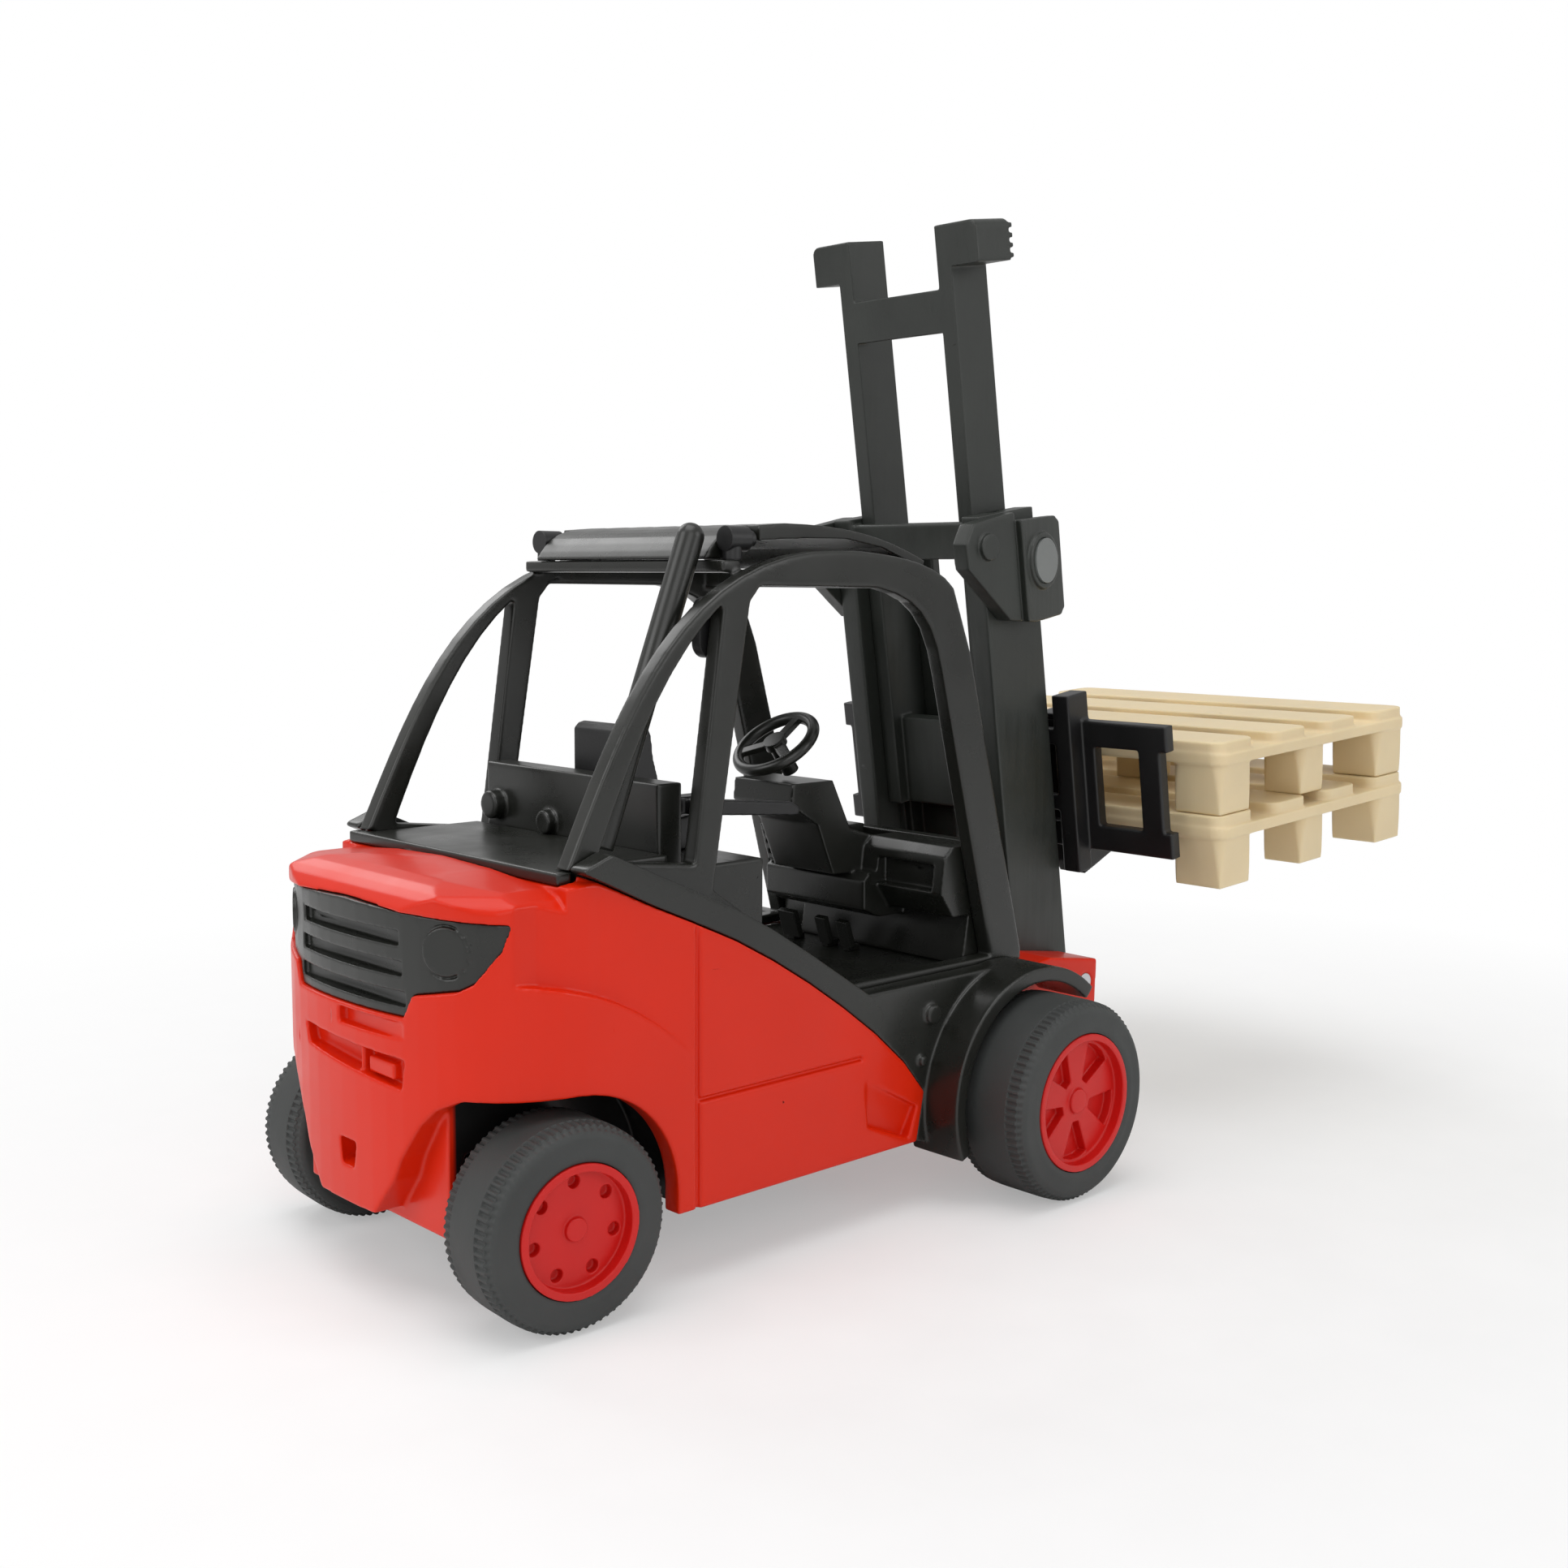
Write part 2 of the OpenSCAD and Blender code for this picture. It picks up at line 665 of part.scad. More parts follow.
// Two stub pins between the chassis ears and the outer rails; the middle is free for the inner mast.
module mast_pins() {
  mast_frame() color("silver") both_sides() rod_y(axle_r, 7.4, 13.05);
}

// One outer rail: channel whose groove guides the tongue of the inner mast.
module outer_rail() {
  difference() {
    box(mast_back, rail_front, 6.55, mast_half_w, -9, mast_top);
    box(-0.9, 0.5, 6.4, 7.3, -10, mast_top + 1);
  }
}

module outer_mast() {
  mast_frame() color("dimgray") difference() {
    union() {
      both_sides() outer_rail();
      both_sides() box(2.15, rail_front, 2.6, 6.7, -9, mast_top - 1.8);
      box(rail_back - 1.2, rail_back - 0.1, -7, 7, 37.6, 40.7);
      box(rail_back, rail_front, -7, 7, -9, -7.4);
    }
    rod_y(axle_r + gap, -12, 12);
  }
}

module bracket_outline() {
  polygon([[-7.4, 37.3], [-2.6, 32.3], [0.5, 31.7], [4.8, 31.6], [5.5, 32.2], [5.6, 39.6], [4.9, 40.2],
           [-0.9, 40.5], [-1.1, 41.2], [-6.4, 40.9], [-7.5, 39.4]]);
}

// Cheek at the mast head: rear leaf, groove and a lamp housing turned slightly forwards.
module bracket_body() {
  turned = [[-8, mast_half_w + 0.02], [5.7, mast_half_w + 0.02], [5.7, 9.4], [-0.85, 10.6], [-0.85, 9.9],
            [-1.1, 9.9], [-1.1, 10.15], [-8, 10.15]];
  intersection() {
    side_slab(mast_half_w, 11) bracket_outline();
    translate([0, 0, 31]) linear_extrude(height = 11) polygon(turned);
  }
  translate([-4.9, 0, 38.8]) {
    rod_y(1.1, 10.05, 10.6);
    rod_y(1.0, 7.4, 8.7);
  }
  lamp_seat() rod_y(2.4, -0.6, 0.35);
}

module lamp_seat() {
  translate([2.1, 10.06, 36.7]) rotate([0, 0, -10.4]) children();
}

module lamp_bracket() {
  difference() {
    bracket_body();
    lamp_seat() rod_y(1.9, -0.15, 2);
  }
}

module lamp_bracket_left() {
  mast_frame() color("dimgray") lamp_bracket();
}

module lamp_bracket_right() {
  mast_frame() color("dimgray") mirror([0, 1, 0]) lamp_bracket();
}

module mast_lamp_left() {
  mast_frame() color("black") lamp_seat() rod_y(1.9, -0.15, 0.5);
}

module mast_lamp_right() {
  mast_frame() color("black") mirror([0, 1, 0]) lamp_seat() rod_y(1.9, -0.15, 0.5);
}

// Inner mast rail with its guide tongue and the catch that rests on the outer rail.
module inner_rail() {
  box(rail_back, 2.1, 4.95, 6.5, lift_foot, lift_top);
  box(-0.85, 0.45, 6.45, 7.25, lift_foot, mast_top - 2);
  box(rail_back, 1.9, 6.45, 9.4, lift_top - 3.4, lift_top - 0.7);
  box(rail_back, 1.9, 6.45, 8.7, lift_top - 0.9, lift_top);
  translate([0, 8.7, lift_top - 0.7]) rod_x(0.7, rail_back, 1.9);
}

module inner_mast() {
  mast_frame() color("dimgray") {
    both_sides() inner_rail();
    box(rail_back, -1.2, -5, 5, lift_top - 8.6, lift_top - 5.1);
    box(-1.2, 0.3, -5, 5, lift_foot, lift_foot + 8);
    for (i = [0 : 3])
      box(1.85, 2.3, -9.4, -6.6, lift_top - 3.2 + 0.8 * i, lift_top - 2.8 + 0.8 * i);
  }
}

// Fork carriage: plate of two bars and four uprights, cheeks, and the T-shaped slider.
module fork_carriage() {
  mast_frame() color("black") {
    box(5.4, 6.5, -carriage_half_w, carriage_half_w, 19.8, 22.1);
    box(5.4, 6.5, -carriage_half_w, carriage_half_w, 10.4, 12.7);
    both_sides() {
      box(5.4, 6.5, 16.2, 18.4, 12.6, 19.9);
      box(5.4, 6.5, 8.4, 11.6, 12.6, 19.9);
      box(3.7, 5.5, 8.6, 10.4, 8.6, 24.6);
      box(5.3, 6.5, 8.6, 10.4, 22, 24.6);
      box(3.7, 4.6, 2, 8.7, 14.2, 15.6);
      box(3.7, 4.6, 2, 8.7, 20.2, 21.6);
    }
    box(0.9, 2.07, -4.8, 4.8, 14, 22);
    box(2.0, 4.6, -2.5, 2.5, 14, 22);
  }
}

// L-shaped fork: shank hooked over the carriage bars and a blade that tapers to its tip.
function on_mast(q) = [load_u + q[0] * cos(fork_droop) + q[1] * sin(fork_droop),
                       load_w - q[0] * sin(fork_droop) + q[1] * cos(fork_droop)];

module fork() {
  blade = [[0.5, 0.6], [5.5, 2.4], [fork_len - 3, 3.2], [fork_len, 3.8], [fork_len, 4.36]];
  heel = on_mast([-0.72, 4.36]);
  side_slab(5.4, 8.3) polygon(concat(
    [[7.9, 22.6], [5.4, 22.6], [5.4, 22.13], [6.53, 22.13], [6.53, 8.6], [7.1, 7.4]],
    [for (q = blade) on_mast(q)],
    [[7.9, heel[1]]]));
}

module fork_left() {
  mast_frame() color("black") fork();
}

module fork_right() {
  mast_frame() color("black") mirror([0, 1, 0]) fork();
}

// ---------- pallets ----------

// Tapered foot: block with sloping faces and rounded corners, wider at the top.
module pallet_foot(size) {
  half = size / 2;
  slope = [[-half, 4.41], [0.32 - half, 0], [half - 0.32, 0], [half, 4.41]];
  r = 1.1;
  intersection() {
    side_slab(-half, half) polygon(slope);
    rear_slab(-half, half) polygon(slope);
    linear_extrude(height = 5) {
      square([size - 2 * r, size], center = true);
      square([size, size - 2 * r], center = true);
      for (x = [-1, 1], y = [-1, 1]) translate([x * (half - r), y * (half - r)]) circle(r = r);
    }
  }
}

module pallet_deck_outline() {
  r = 1.4;
  translate([r, -pallet_w / 2]) square([pallet_l - 2 * r, pallet_w]);
  translate([0, r - pallet_w / 2]) square([pallet_l, pallet_w - 2 * r]);
  for (x = [r, pallet_l - r], y = [-1, 1]) translate([x, y * (pallet_w / 2 - r)]) circle(r = r);
}

module pallet_board(w) {
  r = 1.2;
  translate([0, r - pallet_w / 2 + 0.3, 0]) cube([w, pallet_w - 2 * r - 0.6, 1]);
  translate([r, 0.3 - pallet_w / 2, 0]) cube([w - 2 * r, pallet_w - 0.6, 1]);
  for (x = [r, w - r], y = [-1, 1]) translate([x, y * (pallet_w / 2 - r - 0.3), 0]) cylinder(r = r, h = 1);
}

module pallet() {
  board = 5.7;
  step = (pallet_l - board - 0.2) / 3;
  difference() {
    union() {
      translate([0, 0, 4.4]) linear_extrude(height = 1.0) pallet_deck_outline();
      for (i = [0 : 3]) translate([i * step + 0.1, 0, 5.4]) pallet_board(board);
    }
    for (i = [0 : 2], y = [-1, 1])
      translate([i * step + board + 0.2, y * pallet_w / 4 - pallet_w / 8, 3])
        cube([step - board - 0.2, pallet_w / 4, 4]);
  }
  for (i = [-1 : 1], j = [-1 : 1]) {
    size = i == 0 || j == 0 ? 4.4 : 5.2;
    translate([pallet_l / 2 + i * (pallet_l / 2 - 2.8), j * (pallet_w / 2 - 2.8), 0]) pallet_foot(size);
  }
}

module pallet_lower() {
  load_frame() color("wheat") translate([0, pallet_y, 0]) pallet();
}

module pallet_upper() {
  load_frame() color("wheat") translate([0, pallet_y, pallet_h + 0.02]) pallet();
}

body_shell();
base_plate();
base_screws();
grille();
hood_cover();
cab_tub();
fender_left();
fender_right();
guard_arches();
roof_panel();
roof_lamp_left();
roof_lamp_right();
cab_mirror();
exhaust_stack();
seat_console();
seat();
dash_console();
steering_column();
steering_wheel();
pedals();
front_axle();
front_hub_left();
front_hub_right();
front_tyre_left();
front_tyre_right();
steer_beam();
kingpin();
rear_axle();
rear_hub_left();
rear_hub_right();
rear_tyre_left();
rear_tyre_right();
mast_pins();
outer_mast();
lamp_bracket_left();
lamp_bracket_right();
mast_lamp_left();
mast_lamp_right();
inner_mast();
fork_carriage();
fork_left();
fork_right();
pallet_lower();
pallet_upper();
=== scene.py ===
"""Looks of the toy forklift truck: rounded mouldings, treaded tyres, materials, light and camera."""
import json
import math

import bmesh
import bpy
from mathutils import Matrix, Vector

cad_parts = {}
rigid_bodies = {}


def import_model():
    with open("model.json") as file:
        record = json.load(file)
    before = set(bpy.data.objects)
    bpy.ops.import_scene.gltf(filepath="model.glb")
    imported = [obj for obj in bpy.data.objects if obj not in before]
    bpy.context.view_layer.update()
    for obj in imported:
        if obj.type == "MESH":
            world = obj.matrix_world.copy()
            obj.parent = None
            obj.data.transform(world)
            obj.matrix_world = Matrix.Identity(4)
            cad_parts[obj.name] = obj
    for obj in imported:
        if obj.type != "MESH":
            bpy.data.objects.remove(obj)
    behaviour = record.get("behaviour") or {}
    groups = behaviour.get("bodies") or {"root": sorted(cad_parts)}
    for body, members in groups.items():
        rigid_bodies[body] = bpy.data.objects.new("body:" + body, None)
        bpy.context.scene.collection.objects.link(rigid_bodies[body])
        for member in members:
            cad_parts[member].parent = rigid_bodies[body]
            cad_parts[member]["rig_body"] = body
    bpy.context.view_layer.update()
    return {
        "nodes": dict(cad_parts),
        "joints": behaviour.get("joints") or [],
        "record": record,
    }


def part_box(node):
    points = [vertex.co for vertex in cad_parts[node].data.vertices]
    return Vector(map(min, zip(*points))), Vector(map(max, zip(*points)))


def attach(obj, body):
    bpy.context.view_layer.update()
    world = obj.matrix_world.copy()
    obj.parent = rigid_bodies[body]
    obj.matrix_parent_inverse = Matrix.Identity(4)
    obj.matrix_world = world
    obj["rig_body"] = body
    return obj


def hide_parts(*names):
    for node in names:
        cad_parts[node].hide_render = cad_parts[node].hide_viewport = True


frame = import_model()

NODES = frame["nodes"]
SLOTS = {part["node"]: part["material_slot"] for part in frame["record"]["subparts"]}
JOINTS = {joint["name"]: joint for joint in frame["joints"]}
MM = 0.001


# ---------- measures taken from the frame ----------

def middle(node):
    low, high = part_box(node)
    return (Vector(low) + Vector(high)) / 2


def extent(node):
    low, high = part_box(node)
    return Vector(high) - Vector(low)


def axis_of(joint):
    return Vector(JOINTS[joint]["axis"]).normalized()


def place_of(joint):
    return Vector(JOINTS[joint]["pos_m"])


# Rotation about Y that stands the mast upright, and the one that levels the pallets.
MAST_LEAN = math.atan2(-axis_of("mast_extend").x, axis_of("mast_extend").z)
PALLET_PITCH = math.atan2(axis_of("lower_pallet_draw").z, axis_of("lower_pallet_draw").x)
AXLE_X = place_of("front_wheel_roll").x


# ---------- materials ----------

class Graph:
    """Short forms for building one node material."""

    def __init__(self, name):
        self.material = bpy.data.materials.new(name)
        self.material.use_nodes = True
        self.tree = self.material.node_tree
        self.tree.nodes.clear()
        self.output = self.node("ShaderNodeOutputMaterial")
        self.shader = self.node("ShaderNodeBsdfPrincipled")
        self.join(self.shader.outputs["BSDF"], self.output.inputs["Surface"])
        self.position = self.node("ShaderNodeTexCoord").outputs["Object"]

    def node(self, kind, **values):
        made = self.tree.nodes.new(kind)
        for key, value in values.items():
            setattr(made, key, value)
        return made

    def join(self, source, target):
        self.tree.links.new(source, target)

    def feed(self, target, value):
        if isinstance(value, bpy.types.NodeSocket):
            self.join(value, target)
        else:
            target.default_value = value

    def noise(self, feature, detail=3.0, stretch=(1, 1, 1), tilt=0.0):
        """Noise between 0 and 1 whose blobs are about `feature` metres wide."""
        mapping = self.node("ShaderNodeMapping")
        mapping.inputs["Scale"].default_value = stretch
        mapping.inputs["Rotation"].default_value = (0, tilt, 0)
        self.join(self.position, mapping.inputs["Vector"])
        noise = self.node("ShaderNodeTexNoise")
        noise.inputs["Scale"].default_value = 1 / feature
        noise.inputs["Detail"].default_value = detail
        self.join(mapping.outputs["Vector"], noise.inputs["Vector"])
        return noise.outputs["Fac"]

    def span(self, value, low, high, to_low, to_high):
        ranged = self.node("ShaderNodeMapRange")
        self.join(value, ranged.inputs["Value"])
        for key, number in (("From Min", low), ("From Max", high), ("To Min", to_low), ("To Max", to_high)):
            ranged.inputs[key].default_value = number
        return ranged.outputs["Result"]

    def maths(self, operation, a, b=0.0):
        made = self.node("ShaderNodeMath", operation=operation)
        self.feed(made.inputs[0], a)
        self.feed(made.inputs[1], b)
        return made.outputs[0]

    def mix(self, factor, a, b):
        made = self.node("ShaderNodeMix", data_type="RGBA")
        self.feed(made.inputs["Factor"], factor)
        self.feed(made.inputs["A"], a)
        self.feed(made.inputs["B"], b)
        return made.outputs["Result"]

    def bump(self, height, distance, normal=None):
        made = self.node("ShaderNodeBump")
        made.inputs["Distance"].default_value = distance
        self.join(height, made.inputs["Height"])
        if normal is not None:
            self.join(normal, made.inputs["Normal"])
        return made.outputs["Normal"]


def shade(colour, factor):
    return tuple(min(1.0, channel * factor) for channel in colour[:3]) + (1.0,)


def moulded_plastic(name, colour, roughness, edge_radius=0.12, edge_light=1.5, grain=0.006, coat=0.0,
                    cloud=0.10, subsurface=0.0, streaks=None, metallic=0.0, shine=0.5):
    """Moulded surface: cloudy colour, uneven gloss, fine grain, softened edges that are slightly rubbed and
    painted lighter, partly as wear and partly as a painted highlight.
    """
    graph = Graph(name)
    shader = graph.shader
    base = shade(colour, 1.0)
    # Cloudy colour.
    clouds = graph.noise(9 * MM, detail=4)
    tone = graph.mix(graph.span(clouds, 0.3, 0.7, 0, 1), shade(base, 1 - cloud), shade(base, 1 + cloud))
    # An edge is where the softened normal turns away from the true one; in patches it is rubbed and painted
    # lighter, partly wear and partly a painted edge highlight.
    bevel = graph.node("ShaderNodeBevel", samples=6)
    bevel.inputs["Radius"].default_value = edge_radius * MM
    geometry = graph.node("ShaderNodeNewGeometry")
    dot = graph.node("ShaderNodeVectorMath", operation="DOT_PRODUCT")
    graph.join(bevel.outputs["Normal"], dot.inputs[0])
    graph.join(geometry.outputs["Normal"], dot.inputs[1])
    edge = graph.span(dot.outputs["Value"], 0.80, 0.97, 1, 0)
    worn_highlit_edge = graph.maths("MULTIPLY", edge, graph.span(graph.noise(1.6 * MM, detail=5), 0.42, 0.62, 0, 1))
    # The lighter edge colour is a painted highlight as well as wear.
    colour_out = graph.mix(graph.maths("MULTIPLY", worn_highlit_edge, 0.55), tone, shade(base, edge_light))
    # Uneven gloss, duller where it is rubbed, over a fine grain.
    smudges = graph.span(graph.noise(4 * MM, detail=6), 0.3, 0.7, roughness - 0.05, roughness + 0.07)
    worn = graph.maths("ADD", smudges, graph.maths("MULTIPLY", worn_highlit_edge, 0.08))
    fine = graph.noise(0.22 * MM, detail=2)
    # Draw marks along the length of the profile, which leans by `streaks`.
    if streaks is not None:
        drawn = graph.noise(0.5 * MM, detail=3, stretch=(1, 1, 0.06), tilt=streaks)
        worn = graph.maths("ADD", worn, graph.span(drawn, 0.3, 0.7, -0.05, 0.06))
        fine = graph.maths("ADD", fine, graph.maths("MULTIPLY", drawn, 1.5))
    graph.join(colour_out, shader.inputs["Base Color"])
    graph.join(worn, shader.inputs["Roughness"])
    graph.join(graph.bump(fine, grain * MM, bevel.outputs["Normal"]), shader.inputs["Normal"])
    shader.inputs["Coat Weight"].default_value = coat
    shader.inputs["Coat Roughness"].default_value = 0.12
    shader.inputs["Metallic"].default_value = metallic
    shader.inputs["Specular IOR Level"].default_value = shine
    if subsurface:
        shader.inputs["Subsurface Weight"].default_value = subsurface
        shader.inputs["Subsurface Radius"].default_value = (1.0, 0.75, 0.45)
        shader.inputs["Subsurface Scale"].default_value = 1.2 * MM
    return graph


# Rear wheel wells, in millimetres from the rear axle or, for the skin, from the middle of the truck.
WELL_RADIUS = 9.9
ARCH_TOP = 8.2
KEEL_FRONT = -5.7
SKIN_INSIDE = 13.7
WELL_BLACK_AND_SHADE = (0.007, 0.007, 0.007, 1)


def black_shaded_wells(graph):
    """Paints the inside of the rear wheel wells black, as bare plastic and as painted shade for the shadow
    in the wells: the red stops at the outer skin.
    """
    split = graph.node("ShaderNodeSeparateXYZ")
    graph.join(graph.position, split.inputs[0])
    along = graph.maths("SUBTRACT", split.outputs["X"], place_of("rear_wheel_roll").x)
    above = graph.maths("SUBTRACT", split.outputs["Z"], place_of("rear_wheel_roll").z)
    across = graph.maths("MULTIPLY", along, along)
    distance = graph.maths("SQRT", graph.maths("ADD", across, graph.maths("MULTIPLY", above, above)))
    near_axle = graph.span(distance, WELL_RADIUS * MM, (WELL_RADIUS + 0.2) * MM, 1, 0)
    # The skin curves inwards above the arch, so the black part keeps further away from it there.
    inwards = graph.maths("ADD", graph.maths("ABSOLUTE", split.outputs["Y"]),
                          graph.span(above, ARCH_TOP * MM, (ARCH_TOP + 0.1) * MM, 0, 1.6 * MM))
    behind_skin = graph.span(inwards, SKIN_INSIDE * MM, (SKIN_INSIDE + 0.2) * MM, 1, 0)
    ahead_of_keel = graph.span(along, KEEL_FRONT * MM, (KEEL_FRONT + 0.3) * MM, 0, 1)
    # Black inside the wells: bare plastic together with painted shade for the wells' shadow.
    dark_well = graph.maths("MULTIPLY", graph.maths("MULTIPLY", near_axle, behind_skin), ahead_of_keel)
    target = graph.shader.inputs["Base Color"]
    paint = target.links[0].from_socket
    graph.join(graph.mix(dark_well, paint, WELL_BLACK_AND_SHADE), target)


PAINTS = {
    "red_paint": moulded_plastic("red_gloss", (0.66, 0.017, 0.001), 0.33, edge_radius=0.04, edge_light=1.0,
                                 grain=0.001, coat=0.15, cloud=0.03, shine=0.2),
    "red_plastic": moulded_plastic("red_wheel_plastic", (0.56, 0.008, 0.006), 0.36, edge_radius=0.08,
                                   edge_light=1.2, grain=0.003, cloud=0.07, shine=0.35),
    "black_plastic": moulded_plastic("black_trim_plastic", (0.0115, 0.0122, 0.0100), 0.28, edge_radius=0.12,
                                     edge_light=2.2, grain=0.002, cloud=0.2),
    "dark_plastic": moulded_plastic("deep_black_plastic", (0.006, 0.006, 0.0065), 0.40, edge_light=3.0,
                                    cloud=0.3),
    "mast_plastic": moulded_plastic("mast_plastic", (0.0185, 0.0215, 0.018), 0.40, edge_radius=0.12,
                                    edge_light=1.9, cloud=0.2, streaks=-MAST_LEAN),
    "lamp_lens": moulded_plastic("lamp_lens_plastic", (0.13, 0.14, 0.135), 0.20, edge_light=1.6, coat=0.5),
    "tyre_rubber": moulded_plastic("tyre_rubber", (0.034, 0.037, 0.036), 0.62, edge_radius=0.06,
                                   edge_light=1.5, grain=0.010, cloud=0.16),
    "steel": moulded_plastic("axle_steel", (0.58, 0.58, 0.60), 0.34, edge_light=1.3, metallic=1.0),
    "pallet_plastic": moulded_plastic("pallet_plastic", (0.74, 0.60, 0.37), 0.46, edge_radius=0.15,
                                      edge_light=1.12, cloud=0.05, subsurface=0.2),
}
# The rear wheel wells get black paint, standing for bare plastic and for painted shade.
black_shaded_wells(PAINTS["red_paint"])


def dress(obj, slot):
    obj.data.materials.clear()
    obj.data.materials.append(PAINTS[slot].material)


# ---------- pieces made from the frame's own solids ----------

def new_object(name, mesh):
    obj = bpy.data.objects.new(name, mesh)
    bpy.context.scene.collection.objects.link(obj)
    return obj


def bake(obj):
    """Replaces the object's mesh by its mesh with all modifiers applied."""
    graph = bpy.context.evaluated_depsgraph_get()
    graph.update()
    mesh = bpy.data.meshes.new_from_object(obj.evaluated_get(graph))
    obj.modifiers.clear()
    obj.data = mesh


def smooth_all(mesh):
    for face in mesh.polygons:
        face.use_smooth = True


def stand_in(node, piece):
    """Finishes a piece that is shown instead of a CAD node."""
    dress(piece, SLOTS[node])
    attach(piece, NODES[node]["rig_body"])
    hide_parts(node)
    return piece


def solid_copy(node, suffix):
    mesh = bpy.data.meshes.new(node + suffix)
    welded = bmesh.new()
    welded.from_mesh(NODES[node].data)
    bmesh.ops.remove_doubles(welded, verts=welded.verts, dist=0.0005 * MM)
    welded.to_mesh(mesh)
    welded.free()
    return new_object(node + suffix, mesh)


# Share of the fine mesh's faces that a softened piece keeps: flat areas need few.
KEPT_FACES = 0.14


def soften(node, voxel, passes, tilt=0.0):
    """Copy of a CAD solid with every edge run together, as on a small moulding.

    `voxel` is in millimetres. `tilt` turns the solid square to the voxels while it is remeshed.
    """
    turn = Matrix.Rotation(tilt, 4, "Y")
    piece = solid_copy(node, "_moulding")
    piece.data.transform(turn)
    remesh = piece.modifiers.new("skin", "REMESH")
    remesh.mode = "VOXEL"
    remesh.voxel_size = voxel * MM
    relax = piece.modifiers.new("relax", "SMOOTH")
    relax.iterations = passes
    thin = piece.modifiers.new("thin", "DECIMATE")
    thin.ratio = KEPT_FACES
    settle = piece.modifiers.new("settle", "SMOOTH")
    settle.iterations = 2
    bake(piece)
    piece.data.transform(turn.inverted())
    smooth_all(piece.data)
    return stand_in(node, piece)


def chamfer(node, width):
    """Copy of a flat-sided CAD solid with rounded edges. Width in millimetres."""
    piece = solid_copy(node, "_edges")
    flat = piece.modifiers.new("flat", "DECIMATE")
    flat.decimate_type = "DISSOLVE"
    flat.angle_limit = math.radians(0.6)
    bevel = piece.modifiers.new("round", "BEVEL")
    bevel.width = width * MM
    bevel.segments = 3
    bevel.limit_method = "ANGLE"
    bevel.angle_limit = math.radians(28)
    weighted = piece.modifiers.new("normals", "WEIGHTED_NORMAL")
    weighted.weight = 80
    smooth_all(piece.data)
    bake(piece)
    return stand_in(node, piece)


# ---------- tyres ----------

def wheel_frame(node, joint):
    """Matrix whose Y axis runs along the axle from the tyre's inner face to its outer face."""
    centre = middle(node)
    axis = axis_of(joint)
    if (centre - place_of(joint)).dot(axis) < 0:
        axis = -axis
    side = axis.cross(Vector((0, 0, 1))).normalized()
    up = side.cross(axis)
    turn = Matrix((side, axis, up)).transposed().to_4x4()
    return Matrix.Translation(centre) @ turn


NOTCH_DEPTH = 0.15
FRONT_NOTCHES = 84
REAR_NOTCHES = 76
# The rear wheels rest at a small steering angle, so their own width comes from the turned box.
REAR_STEER = math.atan2(axis_of("rear_wheel_roll").x, axis_of("rear_wheel_roll").y)
REAR_TYRE_WIDTH = ((extent("rear_tyre_left").y - extent("rear_tyre_left").z * math.sin(REAR_STEER))
                   / math.cos(REAR_STEER) / MM)


def tyre(node, joint, radius, width, rim_radius, teeth):
    """Turned tyre with a row of short cross grooves on each shoulder. Sizes in millimetres."""
    # From the bead at the rim to the middle of the tread: radius, and distance from the side face.
    outline = [
        (rim_radius + 0.02, 0.55), (rim_radius + 0.06, 0.12), (rim_radius + 0.35, 0.0),
        (rim_radius + 0.7, 0.05), (radius - 1.35, 0.10), (radius - 0.95, 0.06), (radius - 0.7, 0.10),
        (radius - 0.45, 0.28),
        (radius - 0.2, 0.62), (radius - 0.1, 0.66), (radius - 0.05, 1.0), (radius - 0.02, 1.55),
        (radius - 0.01, 1.62), (radius, 2.1), (radius, width / 2),
    ]
    outline += [(r, width - y) for r, y in reversed(outline[:-1])]
    # Outline points that the shoulder grooves sink, then their mirror images.
    grooved = {8, 9, 10, 11}
    grooved |= {len(outline) - 1 - index for index in grooved}
    # Each tooth takes four steps: two across the groove and two across the raised block.
    steps = teeth * 4
    made = bmesh.new()
    rings = []
    for step in range(steps):
        angle = 2 * math.pi * step / steps
        sunk = NOTCH_DEPTH if step % 4 in (0, 1) else 0.0
        ring = []
        for index, (r, y) in enumerate(outline):
            reach = r - sunk if index in grooved else r
            spot = Vector((reach * math.cos(angle), y - width / 2, reach * math.sin(angle)))
            ring.append(made.verts.new(spot * MM))
        rings.append(ring)
    for step in range(steps):
        here, there = rings[step], rings[(step + 1) % steps]
        for index in range(len(outline)):
            after = (index + 1) % len(outline)
            made.faces.new((here[index], here[after], there[after], there[index]))
    bmesh.ops.recalc_face_normals(made, faces=made.faces)
    mesh = bpy.data.meshes.new(node + "_tread")
    made.to_mesh(mesh)
    made.free()
    mesh.transform(wheel_frame(node, joint))
    smooth_all(mesh)
    mesh.set_sharp_from_angle(angle=math.radians(35))
    return stand_in(node, new_object(node + "_tread", mesh))


def half_height(node):
    return extent(node).z / 2 / MM


def tyres():
    front_width = extent("front_tyre_left").y / MM
    for side in ("left", "right"):
        tyre("front_tyre_" + side, "front_wheel_roll", half_height("front_tyre_left"), front_width,
             half_height("front_hub_left"), FRONT_NOTCHES)
        tyre("rear_tyre_" + side, "rear_wheel_roll", half_height("rear_tyre_left"), REAR_TYRE_WIDTH,
             half_height("rear_hub_left"), REAR_NOTCHES)


# ---------- the whole toy ----------

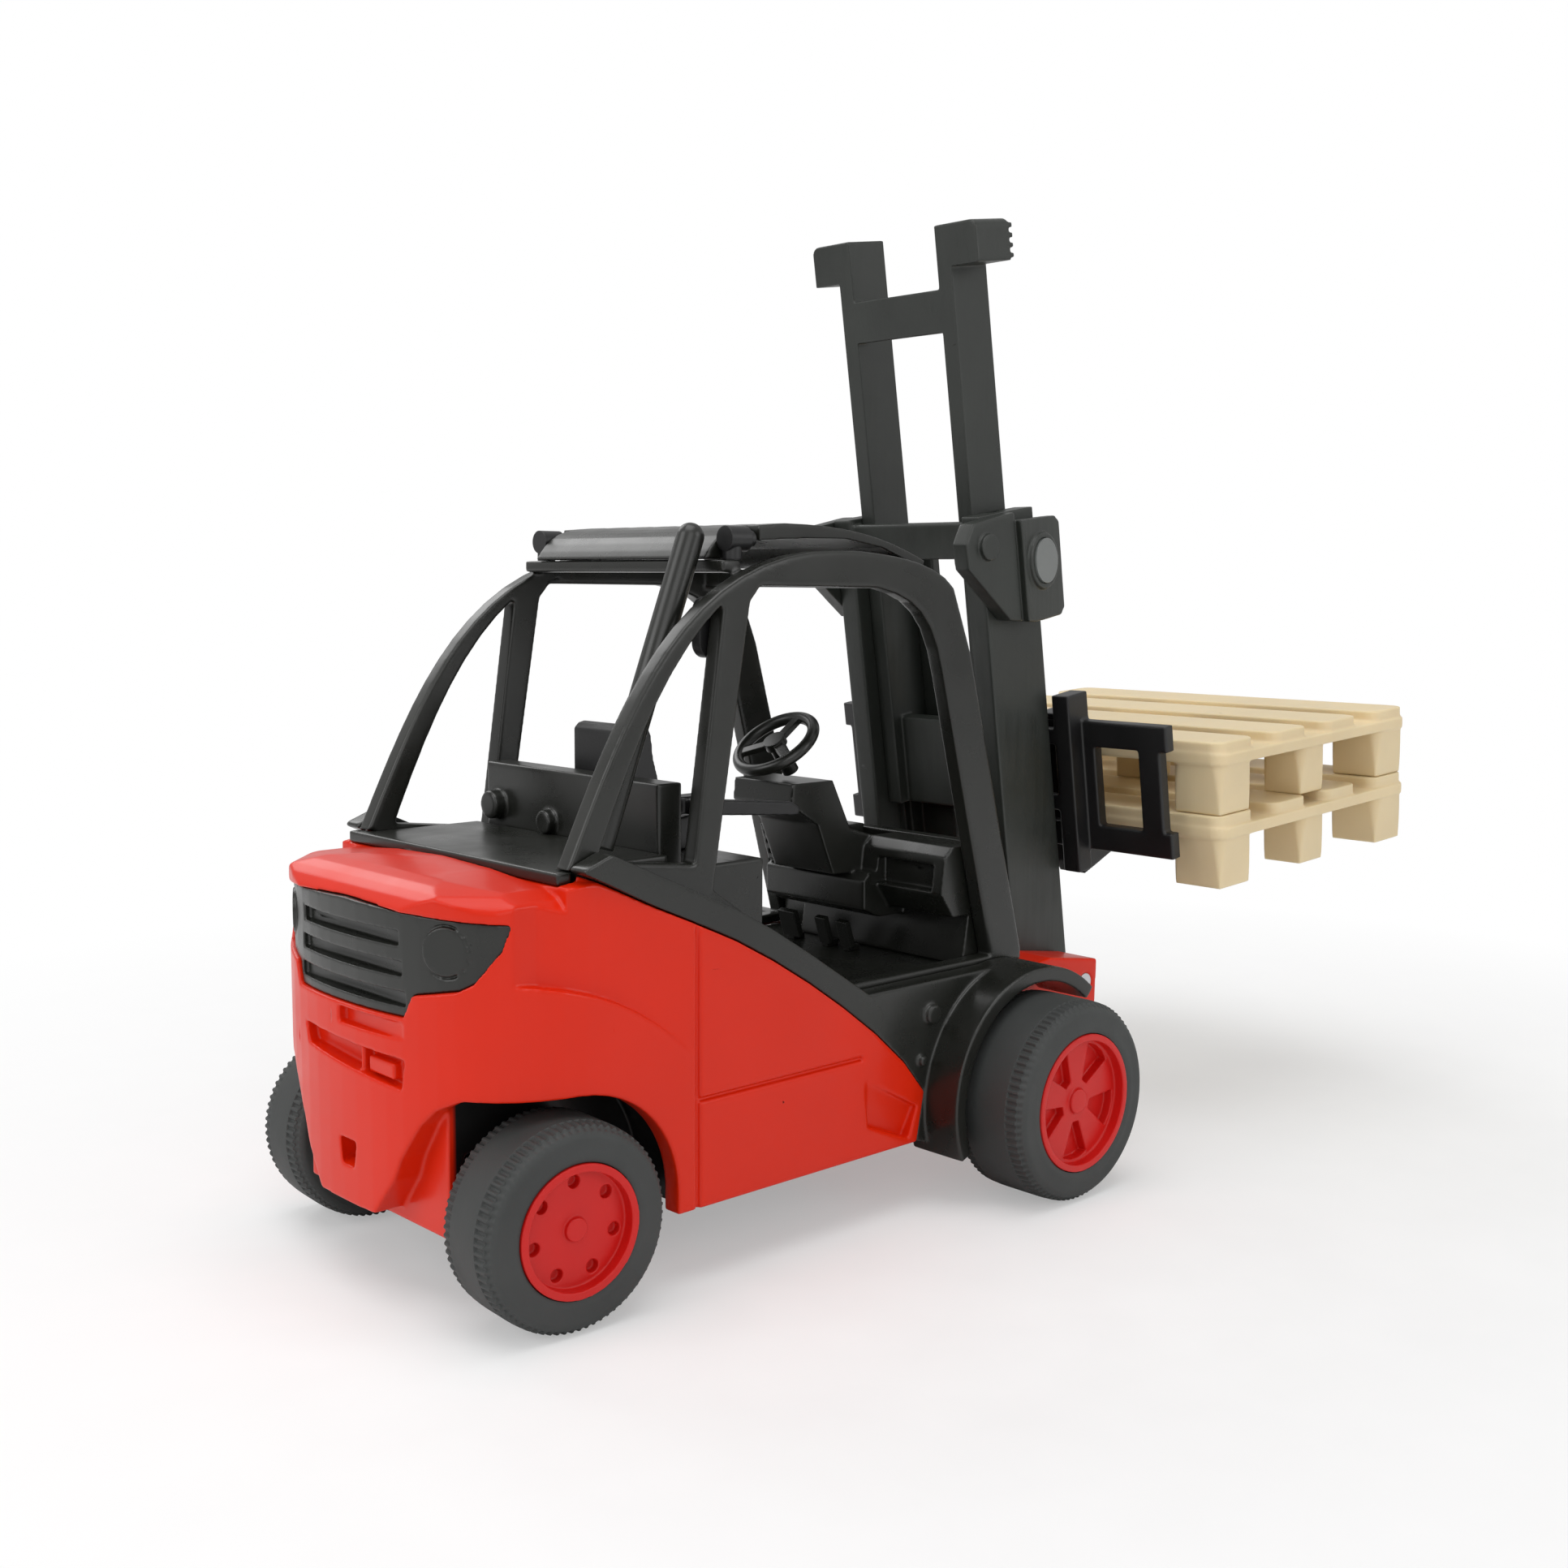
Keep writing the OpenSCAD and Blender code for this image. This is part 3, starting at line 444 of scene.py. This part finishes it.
def mouldings():
    soften("body_shell", 0.08, 26)
    soften("guard_arches", 0.11, 16)
    for side in ("left", "right"):
        soften("fender_" + side, 0.11, 8)
        soften("lamp_bracket_" + side, 0.08, 6, tilt=MAST_LEAN)
        soften("front_hub_" + side, 0.07, 3)
        soften("rear_hub_" + side, 0.06, 3)
        soften("fork_" + side, 0.09, 4, tilt=MAST_LEAN)
    for level in ("lower", "upper"):
        soften("pallet_" + level, 0.11, 6, tilt=PALLET_PITCH)
    soften("outer_mast", 0.11, 5, tilt=MAST_LEAN)
    soften("inner_mast", 0.09, 6, tilt=MAST_LEAN)
    soften("fork_carriage", 0.10, 6, tilt=MAST_LEAN)
    soften("roof_panel", 0.10, 5)
    soften("hood_cover", 0.12, 9)
    soften("seat_console", 0.12, 6)
    soften("seat", 0.10, 9)
    soften("dash_console", 0.10, 5)
    soften("grille", 0.08, 5)


def flat_pieces():
    chamfer("cab_tub", 0.15)
    chamfer("base_plate", 0.15)
    chamfer("pedals", 0.1)


def dress_nodes():
    for name, obj in NODES.items():
        dress(obj, SLOTS[name])


# ---------- floor, light and camera ----------

# Brightness of the white surroundings as light on the surfaces and as their mirror image.
AMBIENT = 0.32
REFLECTED = 0.62
# Distances from the middle, in metres, where the floor starts to whiten and where it is all white.
WHITENS_FROM = 0.055
WHITE_FROM = 0.13
# Share of backdrop white that the floor has next to the truck.
NEAR_WHITE = 0.35
FLOOR_REACH = 3.0


def floor():
    """Pale floor that runs out into the white backdrop for the camera."""
    material = Graph("studio_floor")
    speckle = material.noise(6 * MM, detail=5)
    pale = material.mix(speckle, (0.88, 0.88, 0.88, 1), (0.92, 0.92, 0.92, 1))
    material.join(pale, material.shader.inputs["Base Color"])
    material.join(material.span(speckle, 0.3, 0.7, 0.6, 0.75), material.shader.inputs["Roughness"])
    backdrop = material.node("ShaderNodeEmission")
    backdrop.inputs["Color"].default_value = (1, 1, 1, 1)
    distance = material.node("ShaderNodeVectorMath", operation="LENGTH")
    material.join(material.position, distance.inputs[0])
    faded = material.span(distance.outputs["Value"], WHITENS_FROM, WHITE_FROM, NEAR_WHITE, 1)
    seen = material.node("ShaderNodeLightPath").outputs["Is Camera Ray"]
    blend = material.node("ShaderNodeMixShader")
    material.join(material.maths("MULTIPLY", seen, faded), blend.inputs[0])
    material.join(material.shader.outputs["BSDF"], blend.inputs[1])
    material.join(backdrop.outputs["Emission"], blend.inputs[2])
    material.join(blend.outputs["Shader"], material.output.inputs["Surface"])
    mesh = bpy.data.meshes.new("studio_floor")
    corners = [(x * FLOOR_REACH, y * FLOOR_REACH, 0) for x, y in ((-1, -1), (1, -1), (1, 1), (-1, 1))]
    mesh.from_pydata(corners, [], [(0, 1, 2, 3)])
    plane = new_object("studio_floor", mesh)
    mesh.materials.append(material.material)


def area_light(name, place, size, power, aim=(0, 0, 0.03)):
    light = bpy.data.lights.new(name, "AREA")
    light.size = size
    light.energy = power
    obj = bpy.data.objects.new(name, light)
    obj.location = place
    obj.rotation_euler = (Vector(aim) - Vector(place)).to_track_quat("-Z", "Y").to_euler()
    bpy.context.scene.collection.objects.link(obj)


def studio():
    area_light("top_softbox", (-0.10, -0.05, 0.55), 0.45, 1.6)
    area_light("rear_left_softbox", (-0.55, 0.15, 0.30), 0.35, 1.0)
    area_light("camera_fill", (-0.35, -0.50, 0.30), 0.40, 0.75)
    area_light("side_strip", (0.25, -0.55, 0.25), 0.30, 0.6)
    area_light("roof_glint", (-0.02, 0.50, 0.42), 0.30, 0.7, aim=(-0.03, 0, 0.05))
    world = bpy.data.worlds.new("studio_world")
    world.use_nodes = True
    tree = world.node_tree
    backdrop = tree.nodes["Background"]
    backdrop.inputs["Color"].default_value = (1.0, 1.0, 1.0, 1)
    path = tree.nodes.new("ShaderNodeLightPath")
    strength = path.outputs["Is Camera Ray"]
    for share, ray in ((REFLECTED, "Is Glossy Ray"), (AMBIENT, "Is Diffuse Ray")):
        scaled = tree.nodes.new("ShaderNodeMath")
        scaled.operation = "MULTIPLY_ADD"
        scaled.inputs[1].default_value = share
        tree.links.new(path.outputs[ray], scaled.inputs[0])
        tree.links.new(strength, scaled.inputs[2])
        strength = scaled.outputs[0]
    tree.links.new(strength, backdrop.inputs["Strength"])
    bpy.context.scene.world = world


def camera():
    """Looks along the truck from behind its right rear corner, a little from above."""
    lens = bpy.data.cameras.new("main_camera")
    lens.sensor_width = 36.0
    lens.lens = 40.88
    lens.clip_start = 0.01
    obj = bpy.data.objects.new("main_camera", lens)
    place = Vector((AXLE_X - 110.8 * MM, -106.5 * MM, 48.8 * MM))
    heading, dip, roll = math.radians(46.87), math.radians(-6.53), 0.006
    ahead = Vector((math.cos(dip) * math.cos(heading), math.cos(dip) * math.sin(heading), math.sin(dip)))
    level = ahead.to_track_quat("-Z", "Y").to_matrix().to_4x4()
    obj.matrix_world = Matrix.Translation(place) @ level @ Matrix.Rotation(roll, 4, "Z")
    bpy.context.scene.collection.objects.link(obj)
    bpy.context.scene.camera = obj
    bpy.context.scene.view_settings.view_transform = "Standard"


dress_nodes()
mouldings()
flat_pieces()
tyres()
floor()
studio()
camera()
